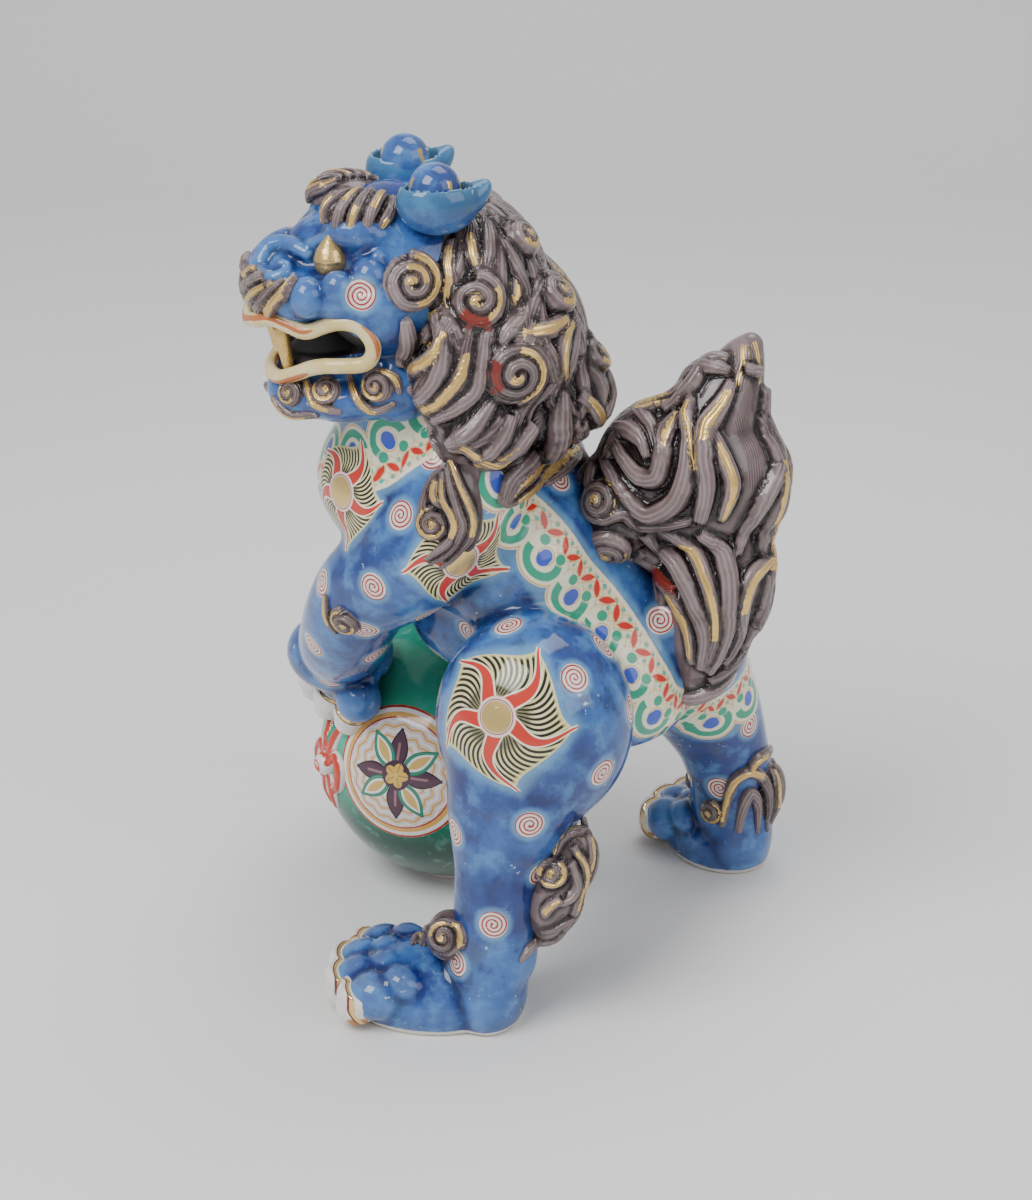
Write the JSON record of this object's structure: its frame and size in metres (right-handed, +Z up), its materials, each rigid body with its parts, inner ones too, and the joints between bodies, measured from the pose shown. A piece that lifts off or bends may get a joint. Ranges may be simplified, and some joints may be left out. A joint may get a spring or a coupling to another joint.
{
  "type": "guardian lion figurine",
  "caption": "Glazed porcelain guardian lion walking over a brocade ball, head turned, curled mane and flame-shaped tail.",
  "frame": {"origin": "middle of the figure's bounding box in plan, on the surface it stands on", "axes": "+Z up, -Y the way the lion walks, +X the lion's own left"},
  "size_m": [0.1902, 0.184, 0.2921],
  "materials": {
    "cobalt": "glossy mottled cobalt blue glaze with painted flowers and small spiral medallions",
    "ivory": "glossy cream yellow enamel edged with a thin orange line",
    "white": "glossy white glaze with gold and dark red lines at the roots",
    "gold": "satin overglaze gold",
    "mauve_brown": "glossy mauve brown glaze, dark in the grooves, with pale and gold streaks on the ridges",
    "green": "glossy emerald glaze with white panels painted with a flower",
    "red": "glossy iron red enamel with white outlines"
  },
  "bodies": {
    "root": {"ankle_curl_left": "mauve_brown", "ankle_curl_right": "mauve_brown", "ball": "green", "ball_bow_1": "red", "ball_bow_2": "red", "ball_bow_3": "red", "ball_bow_4": "red", "beard_left": "mauve_brown", "beard_right": "mauve_brown", "brow_left": "mauve_brown", "brow_right": "mauve_brown", "cheek_curl_left": "mauve_brown", "cheek_curl_right": "mauve_brown", "ear_bulb_left": "cobalt", "ear_bulb_right": "cobalt", "ear_cup_left": "cobalt", "ear_cup_right": "cobalt", "elbow_lock_left": "mauve_brown", "elbow_lock_right": "mauve_brown", "eye_left": "gold", "eye_right": "gold", "fang_left": "gold", "fang_right": "gold", "fore_claws_left": "white", "fore_claws_right": "white", "foreleg_left": "cobalt", "foreleg_right": "cobalt", "hind_claws_left": "white", "hind_claws_right": "white", "hind_leg_left": "cobalt", "hind_leg_right": "cobalt", "hock_lock_left": "mauve_brown", "hock_lock_right": "mauve_brown", "lip": "ivory", "lower_jaw": "cobalt", "mane": "mauve_brown", "mane_curl_back_left": "mauve_brown", "mane_curl_back_right": "mauve_brown", "mane_curl_low_left": "mauve_brown", "mane_curl_low_right": "mauve_brown", "mane_curl_nape_left": "mauve_brown", "mane_curl_nape_right": "mauve_brown", "mane_curl_side_left": "mauve_brown", "mane_curl_side_right": "mauve_brown", "mane_lock_side_left": "mauve_brown", "mane_lock_side_right": "mauve_brown", "moustache_left": "mauve_brown", "moustache_right": "mauve_brown", "nose": "cobalt", "skull": "cobalt", "tail_curl_lower_left": "mauve_brown", "tail_curl_lower_right": "mauve_brown", "tail_curl_upper_left": "mauve_brown", "tail_curl_upper_right": "mauve_brown", "tail_leaf": "mauve_brown", "tail_plume": "mauve_brown", "tail_stem": "cobalt", "trunk": "cobalt", "wrist_curl_left": "mauve_brown", "wrist_curl_right": "mauve_brown"}
  },
  "joints": []
}
